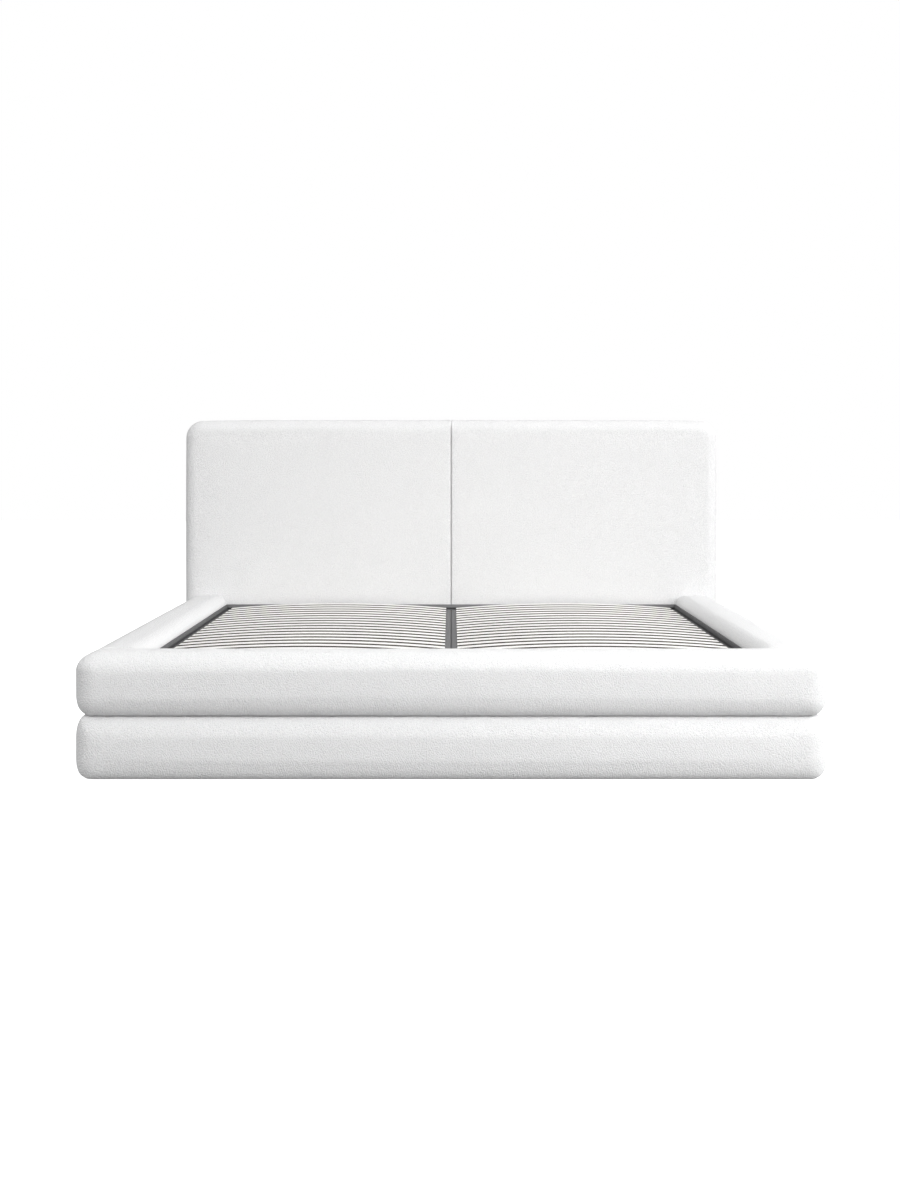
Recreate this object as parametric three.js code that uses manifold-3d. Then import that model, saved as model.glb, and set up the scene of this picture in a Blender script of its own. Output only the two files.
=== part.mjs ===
// Upholstered platform bed for a double mattress: a headboard of two pads, rails built as two bolsters one
// above the other, and a sprung slat base that lies loose inside them.
// Millimetres, +Z up, +Y towards the headboard, origin on the floor under the middle of the bed.

import * as THREE from "three";
import { mergeVertices } from "three/addons/utils/BufferGeometryUtils.js";
import Module from "manifold-3d";

const wasm = await Module();
wasm.setup();

// The mattress that the bed takes, and the room left round it
const mattressWidth = 1800;
const mattressLength = 2000;
const mattressSideRoom = 12;
const mattressEndRoom = 6;

// Bolsters: padded rails in two tiers. An edge is rounded as a quarter ellipse, with its reach across the
// bolster or along it, and its draw up or down. The foot bolsters have ends of their own.
const bolsterWidth = 173;
const lowerTierHeight = 182.5;
const upperTierHeight = 183.5;
const floorClearance = 2;
const topEdgeReach = 74;
const topEdgeDraw = 52;
const wellEdgeRadius = 39;
const upperSeamReach = 36;
const upperSeamDraw = 53;
const lowerSeamReach = 54;
const lowerSeamDraw = 58;
const hemReach = 28;
const hemDraw = 42;
const upperSeamEndReach = 46;
const upperSeamEndDraw = 70;
const lowerSeamEndReach = 26;
const lowerSeamEndDraw = 75;
const hemEndReach = 50;
const hemEndDraw = 58;
const hiddenEdgeRadius = 5;
const buttEdgeRadius = 8;
const footCornerRadius = 65;
const outerFaceCrown = 3;

// Headboard: two pads on a frame
const headboardHeight = 1080;
const padThickness = 85;
const padCornerRadius = 66;
const padFrontRadius = 48;
const padSeamRadius = 6;
const padSeamDepth = 14;
const padHemRadius = 12;
const padSideCrown = 2;
const padShoulderFall = 7;
const padShoulderPower = 8;
const headboardFrameThickness = 45;
const headboardFrameInset = 12;

// Boards inside the rails, with the cleats that carry the slat base
const boardThickness = 24;
const boardCover = 60;
const cleatHeight = 40;

// Slat base: a welded frame of steel angle, with a beam of two tubes down its middle
const wellDepth = 37;
const frameSideRoom = 1;
const frameEndRoom = 1;
const angleThickness = 5;
const railLedgeWidth = 45;
const barLedgeWidth = 25;
const beamWidth = 100;
const beamHeight = 40;
const beamWall = 2;
const beamGrooveWidth = 3;
const beamGrooveDepth = 6;

// Legs under the centre beam
const legSpacing = 1000;
const legRadius = 20;
const legWall = 2;
const legPlateRadius = 40;
const legPlateThickness = 4;
const legFootRadius = 28;
const legFootThickness = 12;

// Sprung slats: laminated birch, bowed upwards
const slatRows = 20;
const slatWidth = 60;
const slatThickness = 8;
const slatRise = 19;
const slatDrop = 12;
const slatMiddleGap = 40;
const slatEndRoom = 21.5;
const slatBarGap = 2.2;

// The gap between pieces that touch, how far joined solids run into each other, how far a cutting solid
// runs past what it cuts, and how near two corners count as one
const seat = 0.3;
const weldDepth = 1;
const overrun = 5;
const sameCorner = 0.001;

// Fineness of the curved faces, in steps
const edgeSteps = 4;
const faceSteps = 4;
const endSteps = 5;
const slatSteps = 11;
const legSides = 16;

// Places that follow from the sizes
const wellHalfWidth = mattressWidth / 2 + mattressSideRoom;
const wellLength = mattressLength + 2 * mattressEndRoom;
const bedLength = bolsterWidth + wellLength + padThickness + headboardFrameThickness;
const bedHalfWidth = wellHalfWidth + bolsterWidth;
const wellFootY = bolsterWidth - bedLength / 2;
const wellHeadY = wellFootY + wellLength;
const bedHeadY = bedLength / 2;
const railTop = lowerTierHeight + upperTierHeight;
const boardTop = railTop - boardCover;
const frameTop = railTop - wellDepth;
const slatEndTop = frameTop - slatDrop;
const slatSeat = slatEndTop - slatThickness - seat;
const frameBottom = slatSeat - angleThickness;
const cleatTop = frameBottom - seat;
const cleatWidth = frameEndRoom + barLedgeWidth;
const frameFootY = wellFootY + frameEndRoom;
const frameHeadY = wellHeadY - frameEndRoom;
const frameOuterX = wellHalfWidth - frameSideRoom;
const frameInnerX = frameOuterX - angleThickness;
const beamFootY = frameFootY + barLedgeWidth + seat;
const beamHeadY = frameHeadY - barLedgeWidth - seat;
const beamBottom = slatSeat - beamHeight;
const slatFirstY = beamHeadY - slatBarGap - slatWidth / 2;
const slatLastY = beamFootY + slatBarGap + slatWidth / 2;

// Finishes
const coverCloth = new THREE.MeshStandardMaterial({ color: 0xf1f0ee, roughness: 0.85, metalness: 0 });
const backCloth = new THREE.MeshStandardMaterial({ color: 0xe3e2e0, roughness: 0.9, metalness: 0 });
const plywood = new THREE.MeshStandardMaterial({ color: 0xc9a878, roughness: 0.7, metalness: 0 });
const coatedSteel = new THREE.MeshStandardMaterial({ color: 0x6f6f70, roughness: 0.45, metalness: 0.2 });
const birch = new THREE.MeshStandardMaterial({ color: 0xf0ece2, roughness: 0.5, metalness: 0 });

const bed = new THREE.Group();
const slatBase = new THREE.Group();
bed.add(slatBase);

function addPiece(name, geometry, material, parent = bed) {
  const piece = new THREE.Mesh(geometry, material);
  piece.name = name;
  parent.add(piece);
  return piece;
}

// Joining and cutting of closed meshes

function toSolid(geometry) {
  const bare = geometry.clone();
  bare.deleteAttribute("normal");
  bare.deleteAttribute("uv");
  const merged = mergeVertices(bare, sameCorner);
  const vertProperties = new Float32Array(merged.attributes.position.array);
  const triVerts = new Uint32Array(merged.index.array);
  return new wasm.Manifold(new wasm.Mesh({ numProp: 3, vertProperties, triVerts }));
}

function toGeometry(solid) {
  const { vertProperties, triVerts, numProp } = solid.getMesh();
  const geometry = new THREE.BufferGeometry();
  geometry.setAttribute("position", new THREE.BufferAttribute(new Float32Array(vertProperties), numProp));
  geometry.setIndex(new THREE.BufferAttribute(new Uint32Array(triVerts), 1));
  geometry.computeVertexNormals();
  return geometry;
}

function join(...geometries) {
  return toGeometry(geometries.map(toSolid).reduce((whole, solid) => whole.add(solid)));
}

function cut(geometry, tool) {
  return toGeometry(toSolid(geometry).subtract(toSolid(tool)));
}

// A box from its lowest corner to its highest
function block([x0, y0, z0], [x1, y1, z1]) {
  const box = new THREE.BoxGeometry(x1 - x0, y1 - y0, z1 - z0);
  return box.translate((x0 + x1) / 2, (y0 + y1) / 2, (z0 + z1) / 2);
}

// The same piece on the other side of the bed
function mirrored(geometry) {
  const flipped = geometry.clone().scale(-1, 1, 1);
  const corners = flipped.index.array;
  for (let i = 0; i < corners.length; i += 3) {
    [corners[i], corners[i + 1]] = [corners[i + 1], corners[i]];
  }
  return flipped;
}

// Padded forms

const noEdge = { reach: 0, draw: 0 };
const roundEdge = (radius) => ({ reach: radius, draw: radius });

// How far a face is drawn in at a distance from an end that is rounded as a quarter ellipse
function drawIn({ reach, draw }, distance) {
  const share = distance < reach ? 1 - distance / reach : 0;
  return draw * (1 - Math.sqrt(1 - share * share));
}

// The cross-section of a pad, from (0, 0) to (width, height), as a ring of points. Every corner is a quarter
// ellipse, each of the four sides can be drawn in, and the far side stands proudest in its middle.
function paddedOutline({ width, height, edges, farCrown }, { near, far, bottom, top }) {
  const corners = [
    { side: near, end: bottom, edge: edges.nearBottom, signU: 1, signV: 1 },
    { side: far, end: bottom, edge: edges.farBottom, signU: -1, signV: 1 },
    { side: far, end: top, edge: edges.farTop, signU: -1, signV: -1 },
    { side: near, end: top, edge: edges.nearTop, signU: 1, signV: -1 },
  ];
  const arcs = corners.map(({ side, end, edge, signU, signV }, quarter) => {
    const reach = Math.max(edge.reach - side, edges.least);
    const draw = Math.max(edge.draw - end, edges.least);
    const centreU = signU > 0 ? side + reach : width - side - reach;
    const centreV = signV > 0 ? end + draw : height - end - draw;
    return Array.from({ length: edgeSteps + 1 }, (_, step) => {
      const angle = Math.PI + (quarter + step / edgeSteps) * (Math.PI / 2);
      return new THREE.Vector2(centreU + reach * Math.cos(angle), centreV + draw * Math.sin(angle));
    });
  });
  const ring = arcs.flatMap((arc, quarter) => {
    const next = arcs[(quarter + 1) % arcs.length][0];
    const face = Array.from({ length: faceSteps - 1 }, (_, step) => {
      return arc.at(-1).clone().lerp(next, (step + 1) / faceSteps);
    });
    return [...arc, ...face];
  });
  return ring.map(({ x, y }) => {
    const up = (2 * y) / height - 1;
    return new THREE.Vector2(x - farCrown * up * up * (x / width), y);
  });
}

// A closed solid through rings that all hold the same number of points, with a fan over each end
function loft(rings) {
  const count = rings[0].length;
  const points = rings.flat();
  const [firstHub, lastHub] = [rings[0], rings.at(-1)].map((ring) => {
    const hub = ring.reduce((sum, point) => sum.add(point), new THREE.Vector3());
    return points.push(hub.divideScalar(count)) - 1;
  });
  const lastStart = (rings.length - 1) * count;
  const corners = [];
  for (let k = 0; k < count; k += 1) {
    const next = (k + 1) % count;
    corners.push(firstHub, next, k, lastHub, lastStart + k, lastStart + next);
    for (let start = 0; start < lastStart; start += count) {
      const [a, b] = [start + k, start + next];
      corners.push(a, b, b + count, a, b + count, a + count);
    }
  }
  if (signedVolume(points, corners) < 0) corners.reverse();
  const geometry = new THREE.BufferGeometry().setFromPoints(points);
  geometry.setIndex(corners);
  geometry.computeVertexNormals();
  return geometry;
}

function signedVolume(points, corners) {
  let volume = 0;
  for (let i = 0; i < corners.length; i += 3) {
    const [a, b, c] = [points[corners[i]], points[corners[i + 1]], points[corners[i + 2]]];
    volume += a.dot(new THREE.Vector3().crossVectors(b, c)) / 6;
  }
  return volume;
}

// A bolster of one outline between two places. endEdges gives, for each side of the outline, how it is
// rounded off towards both ends. place turns a point (out from the well, up, along) into one of the bed.
function bolster(outline, from, to, endEdges, place) {
  const reach = Math.max(...Object.values(endEdges).map((edge) => edge.reach));
  const distances = Array.from({ length: endSteps + 1 }, (_, step) => {
    return reach * (1 - Math.cos((step / endSteps) * (Math.PI / 2)));
  });
  const ringAt = (along, distance) => {
    const insets = Object.entries(endEdges).map(([side, edge]) => [side, drawIn(edge, distance)]);
    return paddedOutline(outline, Object.fromEntries(insets)).map(({ x, y }) => place(x, y, along));
  };
  const start = distances.map((distance) => ringAt(from + distance, distance));
  const finish = distances.map((distance) => ringAt(to - distance, distance)).reverse();
  return loft([...start, ...finish]);
}

// Rails

// Near is the side towards the well, far the outside of the bed. The two tiers meet at the seam.
const tiers = [
  {
    name: "upper_bolster",
    bottom: lowerTierHeight + seat,
    height: upperTierHeight - seat,
    topEdge: { reach: topEdgeReach, draw: topEdgeDraw },
    bottomEdge: { reach: upperSeamReach, draw: upperSeamDraw },
    endTop: { reach: topEdgeReach, draw: topEdgeDraw },
    endBottom: { reach: upperSeamEndReach, draw: upperSeamEndDraw },
    nearTop: roundEdge(wellEdgeRadius),
  },
  {
    name: "lower_bolster",
    bottom: floorClearance,
    height: lowerTierHeight - floorClearance,
    topEdge: { reach: lowerSeamReach, draw: lowerSeamDraw },
    bottomEdge: { reach: hemReach, draw: hemDraw },
    endTop: { reach: lowerSeamEndReach, draw: lowerSeamEndDraw },
    endBottom: { reach: hemEndReach, draw: hemEndDraw },
    nearTop: roundEdge(hiddenEdgeRadius),
  },
];

const boardOuterX = wellHalfWidth + boardThickness;
const boardFootY = wellFootY - boardThickness;
const footBoardRoom = block(
  [-boardOuterX - seat, boardFootY - seat, -overrun],
  [boardOuterX + seat, wellFootY + overrun, boardTop + seat],
);
const sideBoardRoom = block(
  [wellHalfWidth - overrun, wellFootY - overrun, -overrun],
  [boardOuterX + seat, wellHeadY + overrun, boardTop + seat],
);

for (const { name, bottom, height, topEdge, bottomEdge, endTop, endBottom, nearTop } of tiers) {
  const outline = {
    width: bolsterWidth,
    height,
    farCrown: outerFaceCrown,
    edges: {
      nearBottom: roundEdge(hiddenEdgeRadius),
      farBottom: bottomEdge,
      farTop: topEdge,
      nearTop,
      least: hiddenEdgeRadius,
    },
  };
  const butt = roundEdge(buttEdgeRadius);
  const sideEnds = { near: butt, far: butt, bottom: butt, top: butt };
  const placeSide = (out, up, along) => new THREE.Vector3(wellHalfWidth + out, along, bottom + up);
  const side = bolster(outline, wellFootY + seat, wellHeadY - seat, sideEnds, placeSide);
  const rightSide = cut(side, sideBoardRoom);
  addPiece(name + "_right", rightSide, coverCloth);
  addPiece(name + "_left", mirrored(rightSide), coverCloth);

  const footEnds = { near: noEdge, far: roundEdge(footCornerRadius), bottom: endBottom, top: endTop };
  const placeFoot = (out, up, along) => new THREE.Vector3(along, wellFootY - out, bottom + up);
  const foot = bolster(outline, -bedHalfWidth, bedHalfWidth, footEnds, placeFoot);
  addPiece(name + "_foot", cut(foot, footBoardRoom), coverCloth);
}

// Boards: upright in the rails, with a cleat along each that is as wide as the room the bars take

const cleatInnerX = wellHalfWidth - cleatWidth;
const footBoard = join(
  block([-boardOuterX, boardFootY, 0], [boardOuterX, wellFootY, boardTop]),
  block(
    [-cleatInnerX, wellFootY - weldDepth, cleatTop - cleatHeight],
    [cleatInnerX, wellFootY + cleatWidth, cleatTop],
  ),
);
addPiece("foot_board", footBoard, plywood);

const sideBoard = join(
  block([wellHalfWidth, wellFootY + seat, 0], [boardOuterX, wellHeadY - seat, boardTop]),
  block(
    [cleatInnerX + seat, wellFootY + seat, cleatTop - cleatHeight],
    [wellHalfWidth + weldDepth, wellHeadY - cleatWidth - seat, cleatTop],
  ),
);
addPiece("side_board_right", sideBoard, plywood);
addPiece("side_board_left", mirrored(sideBoard), plywood);

// The crossboard stands under the head bar, between the side boards, and is as thick as the cleats are wide
const crossboardHalfWidth = wellHalfWidth - seat;
const headCrossboard = block(
  [-crossboardHalfWidth, wellHeadY - cleatWidth, 0],
  [crossboardHalfWidth, wellHeadY - seat, cleatTop],
);
addPiece("head_crossboard", headCrossboard, plywood);

// Headboard

// A pad is rounded over at the front, and its top falls away towards the outer corner
function headboardPad() {
  const width = bedHalfWidth - seat / 2;
  const height = headboardHeight - floorClearance;
  const outline = {
    width,
    height,
    farCrown: padSideCrown,
    edges: {
      nearBottom: roundEdge(padSeamRadius),
      farBottom: roundEdge(padHemRadius),
      farTop: roundEdge(padCornerRadius),
      nearTop: roundEdge(padSeamRadius),
      least: padSeamRadius,
    },
  };
  const place = (across, up, depth) => {
    const fall = padShoulderFall * (across / width) ** padShoulderPower * (up / height);
    return new THREE.Vector3(seat / 2 + across, wellHeadY + depth, floorClearance + up - fall);
  };
  const ringAt = (depth) => {
    const outer = drawIn(roundEdge(padFrontRadius), depth);
    const seam = drawIn({ reach: padSeamDepth, draw: padSeamRadius }, depth);
    const hem = drawIn(roundEdge(padHemRadius), depth);
    const insets = { near: seam, far: outer, bottom: hem, top: outer };
    return paddedOutline(outline, insets).map(({ x, y }) => place(x, y, depth));
  };
  const frontDepths = Array.from({ length: endSteps + 1 }, (_, step) => {
    return padFrontRadius * (1 - Math.cos((step / endSteps) * (Math.PI / 2)));
  });
  return loft([...frontDepths, padThickness].map(ringAt));
}

const rightPad = headboardPad();
addPiece("headboard_pad_right", rightPad, coverCloth);
addPiece("headboard_pad_left", mirrored(rightPad), coverCloth);

// The frame behind the pads stands on the floor and carries the back cloth
function headboardFrame() {
  const halfWidth = bedHalfWidth - headboardFrameInset;
  const arcX = halfWidth - padCornerRadius;
  const arcZ = headboardHeight - headboardFrameInset - padCornerRadius;
  const outline = new THREE.Shape();
  outline.moveTo(-halfWidth, 0);
  outline.lineTo(halfWidth, 0);
  outline.absarc(arcX, arcZ, padCornerRadius, 0, Math.PI / 2);
  outline.absarc(-arcX, arcZ, padCornerRadius, Math.PI / 2, Math.PI);
  const depth = headboardFrameThickness - seat;
  const curveSegments = 2 * edgeSteps;
  const frame = new THREE.ExtrudeGeometry(outline, { depth, curveSegments, bevelEnabled: false });
  return frame.rotateX(Math.PI / 2).translate(0, bedHeadY, 0);
}

addPiece("headboard_frame", headboardFrame(), backCloth);

// Slat base

function rectangle(x0, y0, x1, y1) {
  return [
    new THREE.Vector2(x0, y0),
    new THREE.Vector2(x1, y0),
    new THREE.Vector2(x1, y1),
    new THREE.Vector2(x0, y1),
  ];
}

// A straight length of a section
function section(outline, length, bores = []) {
  const shape = new THREE.Shape(outline);
  shape.holes = bores.map((bore) => new THREE.Path(bore));
  return new THREE.ExtrudeGeometry(shape, { depth: length, bevelEnabled: false });
}

function tube(x0, y0, x1, y1, length) {
  const bore = rectangle(x0 + beamWall, y0 + beamWall, x1 - beamWall, y1 - beamWall);
  return section(rectangle(x0, y0, x1, y1), length, [bore]);
}

// Lays a section drawn as (across, up) along Y, with its head end at headY
const layAlongY = (geometry, headY) => geometry.rotateX(Math.PI / 2).translate(0, headY, 0);

// Lays a section drawn as (towards the head, up) along X, centred on the bed
function layAlongX(geometry, length) {
  geometry.rotateY(Math.PI / 2).rotateX(Math.PI / 2);
  return geometry.translate(-length / 2, 0, 0);
}

// A side rail is an angle, with an upright along the bolster and a ledge that the slats' outer ends rest on.
// Its ledge ends at the bars, and its upright runs on past them.
function sideRail() {
  const upright = rectangle(frameInnerX, frameBottom, frameOuterX, frameTop);
  const ledge = rectangle(frameOuterX - railLedgeWidth, frameBottom, frameInnerX + weldDepth, slatSeat);
  return join(
    layAlongY(section(upright, frameHeadY - frameFootY), frameHeadY),
    layAlongY(section(ledge, beamHeadY - beamFootY), beamHeadY),
  );
}

const rightRail = sideRail();
addPiece("frame_rail_right", rightRail, coatedSteel, slatBase);
addPiece("frame_rail_left", mirrored(rightRail), coatedSteel, slatBase);

// The bars at the head and the foot are angles too, between the uprights of the rails
function endBar(outerY, innerY, ledgeEndY) {
  const outline = [
    new THREE.Vector2(outerY, frameBottom),
    new THREE.Vector2(ledgeEndY, frameBottom),
    new THREE.Vector2(ledgeEndY, slatSeat),
    new THREE.Vector2(innerY, slatSeat),
    new THREE.Vector2(innerY, frameTop),
    new THREE.Vector2(outerY, frameTop),
  ];
  const length = 2 * (frameInnerX - seat);
  return layAlongX(section(outline, length), length);
}

const headBar = endBar(frameHeadY, frameHeadY - angleThickness, frameHeadY - barLedgeWidth);
const footBar = endBar(frameFootY, frameFootY + angleThickness, frameFootY + barLedgeWidth);
addPiece("frame_head_bar", headBar, coatedSteel, slatBase);
addPiece("frame_foot_bar", footBar, coatedSteel, slatBase);

// The centre beam is two tubes side by side, welded with a filler strip that leaves a groove in the top
function centreBeam() {
  const groove = beamGrooveWidth / 2;
  const beamLength = beamHeadY - beamFootY;
  const rightTube = tube(groove, beamBottom, beamWidth / 2, slatSeat, beamLength);
  const leftTube = tube(-beamWidth / 2, beamBottom, -groove, slatSeat, beamLength);
  const fillerHalfWidth = groove + weldDepth;
  const filler = rectangle(-fillerHalfWidth, beamBottom, fillerHalfWidth, slatSeat - beamGrooveDepth);
  return join(
    layAlongY(rightTube, beamHeadY),
    layAlongY(leftTube, beamHeadY),
    layAlongY(section(filler, beamLength), beamHeadY),
  );
}

addPiece("centre_beam", centreBeam(), coatedSteel, slatBase);

// A leg is a tube that is open below, with a plate under the beam and a foot on the floor
function centreLeg() {
  const top = beamBottom - seat;
  const plateBottom = top - legPlateThickness;
  const bore = legRadius - legWall;
  const profile = [
    new THREE.Vector2(0, plateBottom),
    new THREE.Vector2(bore, plateBottom),
    new THREE.Vector2(bore, 0),
    new THREE.Vector2(legFootRadius, 0),
    new THREE.Vector2(legFootRadius, legFootThickness),
    new THREE.Vector2(legRadius, legFootThickness),
    new THREE.Vector2(legRadius, plateBottom),
    new THREE.Vector2(legPlateRadius, plateBottom),
    new THREE.Vector2(legPlateRadius, top),
    new THREE.Vector2(0, top),
  ];
  return new THREE.LatheGeometry(profile, legSides).rotateX(Math.PI / 2);
}

const leg = centreLeg();
const legPlaces = { centre_leg_foot: -legSpacing / 2, centre_leg_head: legSpacing / 2 };
for (const [name, y] of Object.entries(legPlaces)) {
  addPiece(name, leg, coatedSteel, slatBase).position.y = y;
}

// A slat is a bowed strip from the centre beam to the ledge of a side rail
function slat() {
  const innerX = slatMiddleGap / 2;
  const outerX = frameInnerX - slatEndRoom;
  const bow = (base) => {
    return Array.from({ length: slatSteps + 1 }, (_, step) => {
      const across = (2 * step) / slatSteps - 1;
      const x = innerX + ((outerX - innerX) * step) / slatSteps;
      return new THREE.Vector2(x, base + slatRise * (1 - across * across));
    });
  };
  const outline = [...bow(slatEndTop - slatThickness), ...bow(slatEndTop).reverse()];
  return toGeometry(toSolid(layAlongY(section(outline, slatWidth), slatWidth / 2)));
}

const rightSlat = slat();
const leftSlat = mirrored(rightSlat);
for (let row = 0; row < slatRows; row += 1) {
  const number = String(row + 1).padStart(2, "0");
  const y = slatFirstY + ((slatLastY - slatFirstY) * row) / (slatRows - 1);
  addPiece("slat_right_" + number, rightSlat, birch, slatBase).position.y = y;
  addPiece("slat_left_" + number, leftSlat, birch, slatBase).position.y = y;
}

export default bed;
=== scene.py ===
# %% [markdown]
# # An upholstered platform bed
#
# The bed has a headboard of two foam pads, rails of soft bolsters in two tiers, and a loose base of sprung
# slats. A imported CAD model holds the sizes, the bodies and the one motion. This script dresses it with fine
# meshes and finishes, and sets up the studio, in metres, with +Z up and +Y towards the headboard.

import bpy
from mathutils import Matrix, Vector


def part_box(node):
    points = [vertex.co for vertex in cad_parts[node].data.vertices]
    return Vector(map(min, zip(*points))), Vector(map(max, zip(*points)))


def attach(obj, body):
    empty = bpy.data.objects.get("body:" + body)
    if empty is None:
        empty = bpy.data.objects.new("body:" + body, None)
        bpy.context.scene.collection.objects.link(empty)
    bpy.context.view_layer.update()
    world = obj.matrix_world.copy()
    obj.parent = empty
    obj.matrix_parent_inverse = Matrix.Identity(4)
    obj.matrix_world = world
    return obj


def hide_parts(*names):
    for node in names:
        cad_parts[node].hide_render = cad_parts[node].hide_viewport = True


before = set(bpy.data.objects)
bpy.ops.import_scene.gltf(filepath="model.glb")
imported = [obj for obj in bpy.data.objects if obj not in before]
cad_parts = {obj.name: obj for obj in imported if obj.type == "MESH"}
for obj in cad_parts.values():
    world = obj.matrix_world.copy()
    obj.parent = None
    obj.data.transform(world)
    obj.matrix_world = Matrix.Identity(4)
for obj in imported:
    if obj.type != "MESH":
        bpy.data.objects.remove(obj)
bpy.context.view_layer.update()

# %% Bring in what the script works with
import math

import bmesh
import bpy
import numpy as np
from mathutils import Matrix, Vector

MM = 0.001
SIDES = {"right": 1, "left": -1}

# %% [markdown]
# ## The camera
#
# The picture was taken with a level camera, so upright edges stay upright. A tilted one would make the
# headboard's sides lean. So the camera looks straight along +Y, and a lens shift puts the horizon at the
# height that it has in the picture.

# %% Place the camera
FRAME_WIDTH_PX = 900
FRAME_HEIGHT_PX = 1200
FOCAL_LENGTH_PX = 1810
HORIZON_PX = 457.6
MIDDLE_PX = 451.15
SENSOR = 36
EYE_HEIGHT = 0.925
EYE_TO_HEADBOARD = 7.353

headboard_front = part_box("headboard_pad_right")[0].y


def new_object(name, data):
    """An object in the scene."""
    made = bpy.data.objects.new(name, data)
    bpy.context.scene.collection.objects.link(made)
    return made


camera = new_object("camera", bpy.data.cameras.new("camera"))
bpy.context.scene.camera = camera
camera.data.sensor_width = SENSOR
camera.data.lens = SENSOR * FOCAL_LENGTH_PX / FRAME_HEIGHT_PX
camera.data.shift_x = (FRAME_WIDTH_PX / 2 - MIDDLE_PX) / FRAME_HEIGHT_PX
camera.data.shift_y = (HORIZON_PX - FRAME_HEIGHT_PX / 2) / FRAME_HEIGHT_PX
camera.location = (0, headboard_front - EYE_TO_HEADBOARD, EYE_HEIGHT)
camera.rotation_euler = (math.radians(90), 0, 0)
print("camera:", tuple(round(value, 3) for value in camera.location), round(camera.data.lens, 1), "mm")

# %% [markdown]
# ## Colours and nodes
#
# A colour is easiest to choose as an sRGB hex value, but Blender mixes light in linear values, so one
# function turns the first into the second. Another adds one node with its settings and links, so that each
# material below reads as a short recipe.

# %% Make the helpers for materials
def linear(hex_colour):
    """An sRGB hex colour as the linear RGBA that shaders take."""
    channels = [int(hex_colour[start:start + 2], 16) / 255 for start in (1, 3, 5)]
    return (*(c / 12.92 if c <= 0.04045 else ((c + 0.055) / 1.055) ** 2.4 for c in channels), 1.0)


def feed(tree, node, sockets):
    """Gives a node's inputs, by name or number, a value, a hex colour or another node's output."""
    for name, value in sockets.items():
        if isinstance(value, bpy.types.NodeSocket):
            tree.links.new(value, node.inputs[name])
        else:
            node.inputs[name].default_value = linear(value) if isinstance(value, str) else value


def add_node(tree, kind, sockets=None, output=0, **settings):
    """Adds a shader node and returns one of its outputs."""
    node = tree.nodes.new("ShaderNode" + kind)
    for name, value in settings.items():
        setattr(node, name, value)
    feed(tree, node, sockets or {})
    return node.outputs[output]


def new_material(name, sockets):
    """A material with one Principled surface, and its node tree."""
    material = bpy.data.materials.new(name)
    material.use_nodes = True
    tree = material.node_tree
    surface = tree.nodes["Principled BSDF"]
    feed(tree, surface, sockets)
    return material, tree, surface


print("mid grey, linear:", round(linear("#808080")[0], 3))

# %% [markdown]
# ## Woven polyester: the cover
#
# The cover is woven of thick, slightly uneven white polyester yarn. It has a fine pebbled surface with faint
# slanting ripples in patches, no gloss, and a soft rim where fibres catch the light. The threads, under a
# millimetre apart, are too fine to show, so the pebbles are drawn 4 mm wide.

# %% Make the cover's cloth
PEBBLE = 3.9 * MM
RIPPLE = 5.6 * MM
RIPPLE_SLANT = (0.85, 0.85, 0.53)
RIPPLE_BEND = 3.0
RIPPLE_SHARE = 0.05
PATCH = 34 * MM
PATCH_EDGE = (0.42, 0.62)
CLOUD = 420 * MM
CLOUD_SHARE = 0.1
SHADE_RANGE = (0.25, 0.85)
CLOTH_RELIEF = 4.0 * MM


def woven_cloth(name, pale, deep, relief):
    """Cloth of pebbled yarn, with slanting ripples in patches and a soft rim of fibres."""
    cloth, tree, surface = new_material(
        name, {"Roughness": 0.92, "IOR": 1.5, "Specular IOR Level": 0.25, "Sheen Weight": 0.12,
               "Sheen Roughness": 0.6})
    place = add_node(tree, "TexCoord", output="Object")
    pebble = add_node(tree, "TexNoise", {0: place, "Scale": 1 / PEBBLE, "Detail": 2, "Roughness": 0.55})
    patch = add_node(tree, "TexNoise", {0: place, "Scale": 1 / PATCH, "Detail": 1})
    cloud = add_node(tree, "TexNoise", {0: place, "Scale": 1 / CLOUD, "Detail": 2})
    slant = add_node(tree, "VectorMath", {0: place, 1: RIPPLE_SLANT}, "Value", operation="DOT_PRODUCT")
    bent = add_node(tree, "Math", {0: patch, 1: RIPPLE_BEND}, operation="MULTIPLY")
    turn = add_node(tree, "Math", {0: slant, 1: math.tau / RIPPLE, 2: bent}, operation="MULTIPLY_ADD")
    wave = add_node(tree, "Math", {0: turn}, operation="SINE")
    mask = add_node(tree, "MapRange", {0: patch, 1: PATCH_EDGE[0], 2: PATCH_EDGE[1], 4: RIPPLE_SHARE})
    height = add_node(tree, "Math", {0: wave, 1: mask, 2: pebble}, operation="MULTIPLY_ADD")
    shade = add_node(tree, "Math", {0: cloud, 1: CLOUD_SHARE, 2: height}, operation="MULTIPLY_ADD")
    share = add_node(tree, "MapRange", {0: shade, 1: SHADE_RANGE[0], 2: SHADE_RANGE[1]})
    colour = add_node(tree, "Mix", {0: share, 6: deep, 7: pale}, 2, data_type="RGBA")
    bump = add_node(tree, "Bump", {"Distance": relief, "Height": height})
    feed(tree, surface, {"Base Color": colour, "Normal": bump})
    return cloth


cover_cloth = woven_cloth("woven_polyester_cover", "#EDEDED", "#D5D5D6", CLOTH_RELIEF)
print("cover cloth: pebbles", PEBBLE / MM, "mm, ripples", RIPPLE / MM, "mm")

# %% [markdown]
# ## Spunbonded lining: the back of the headboard
#
# The back faces a wall, so it is closed with a plain lining, thinner, flatter and a little greyer than the
# cover.

# %% Make the lining
LINING_RELIEF = 0.35 * MM
back_cloth = woven_cloth("spunbonded_lining", "#E2E2E1", "#CFCFCE", LINING_RELIEF)
print("lining relief:", LINING_RELIEF / MM, "mm")

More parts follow.
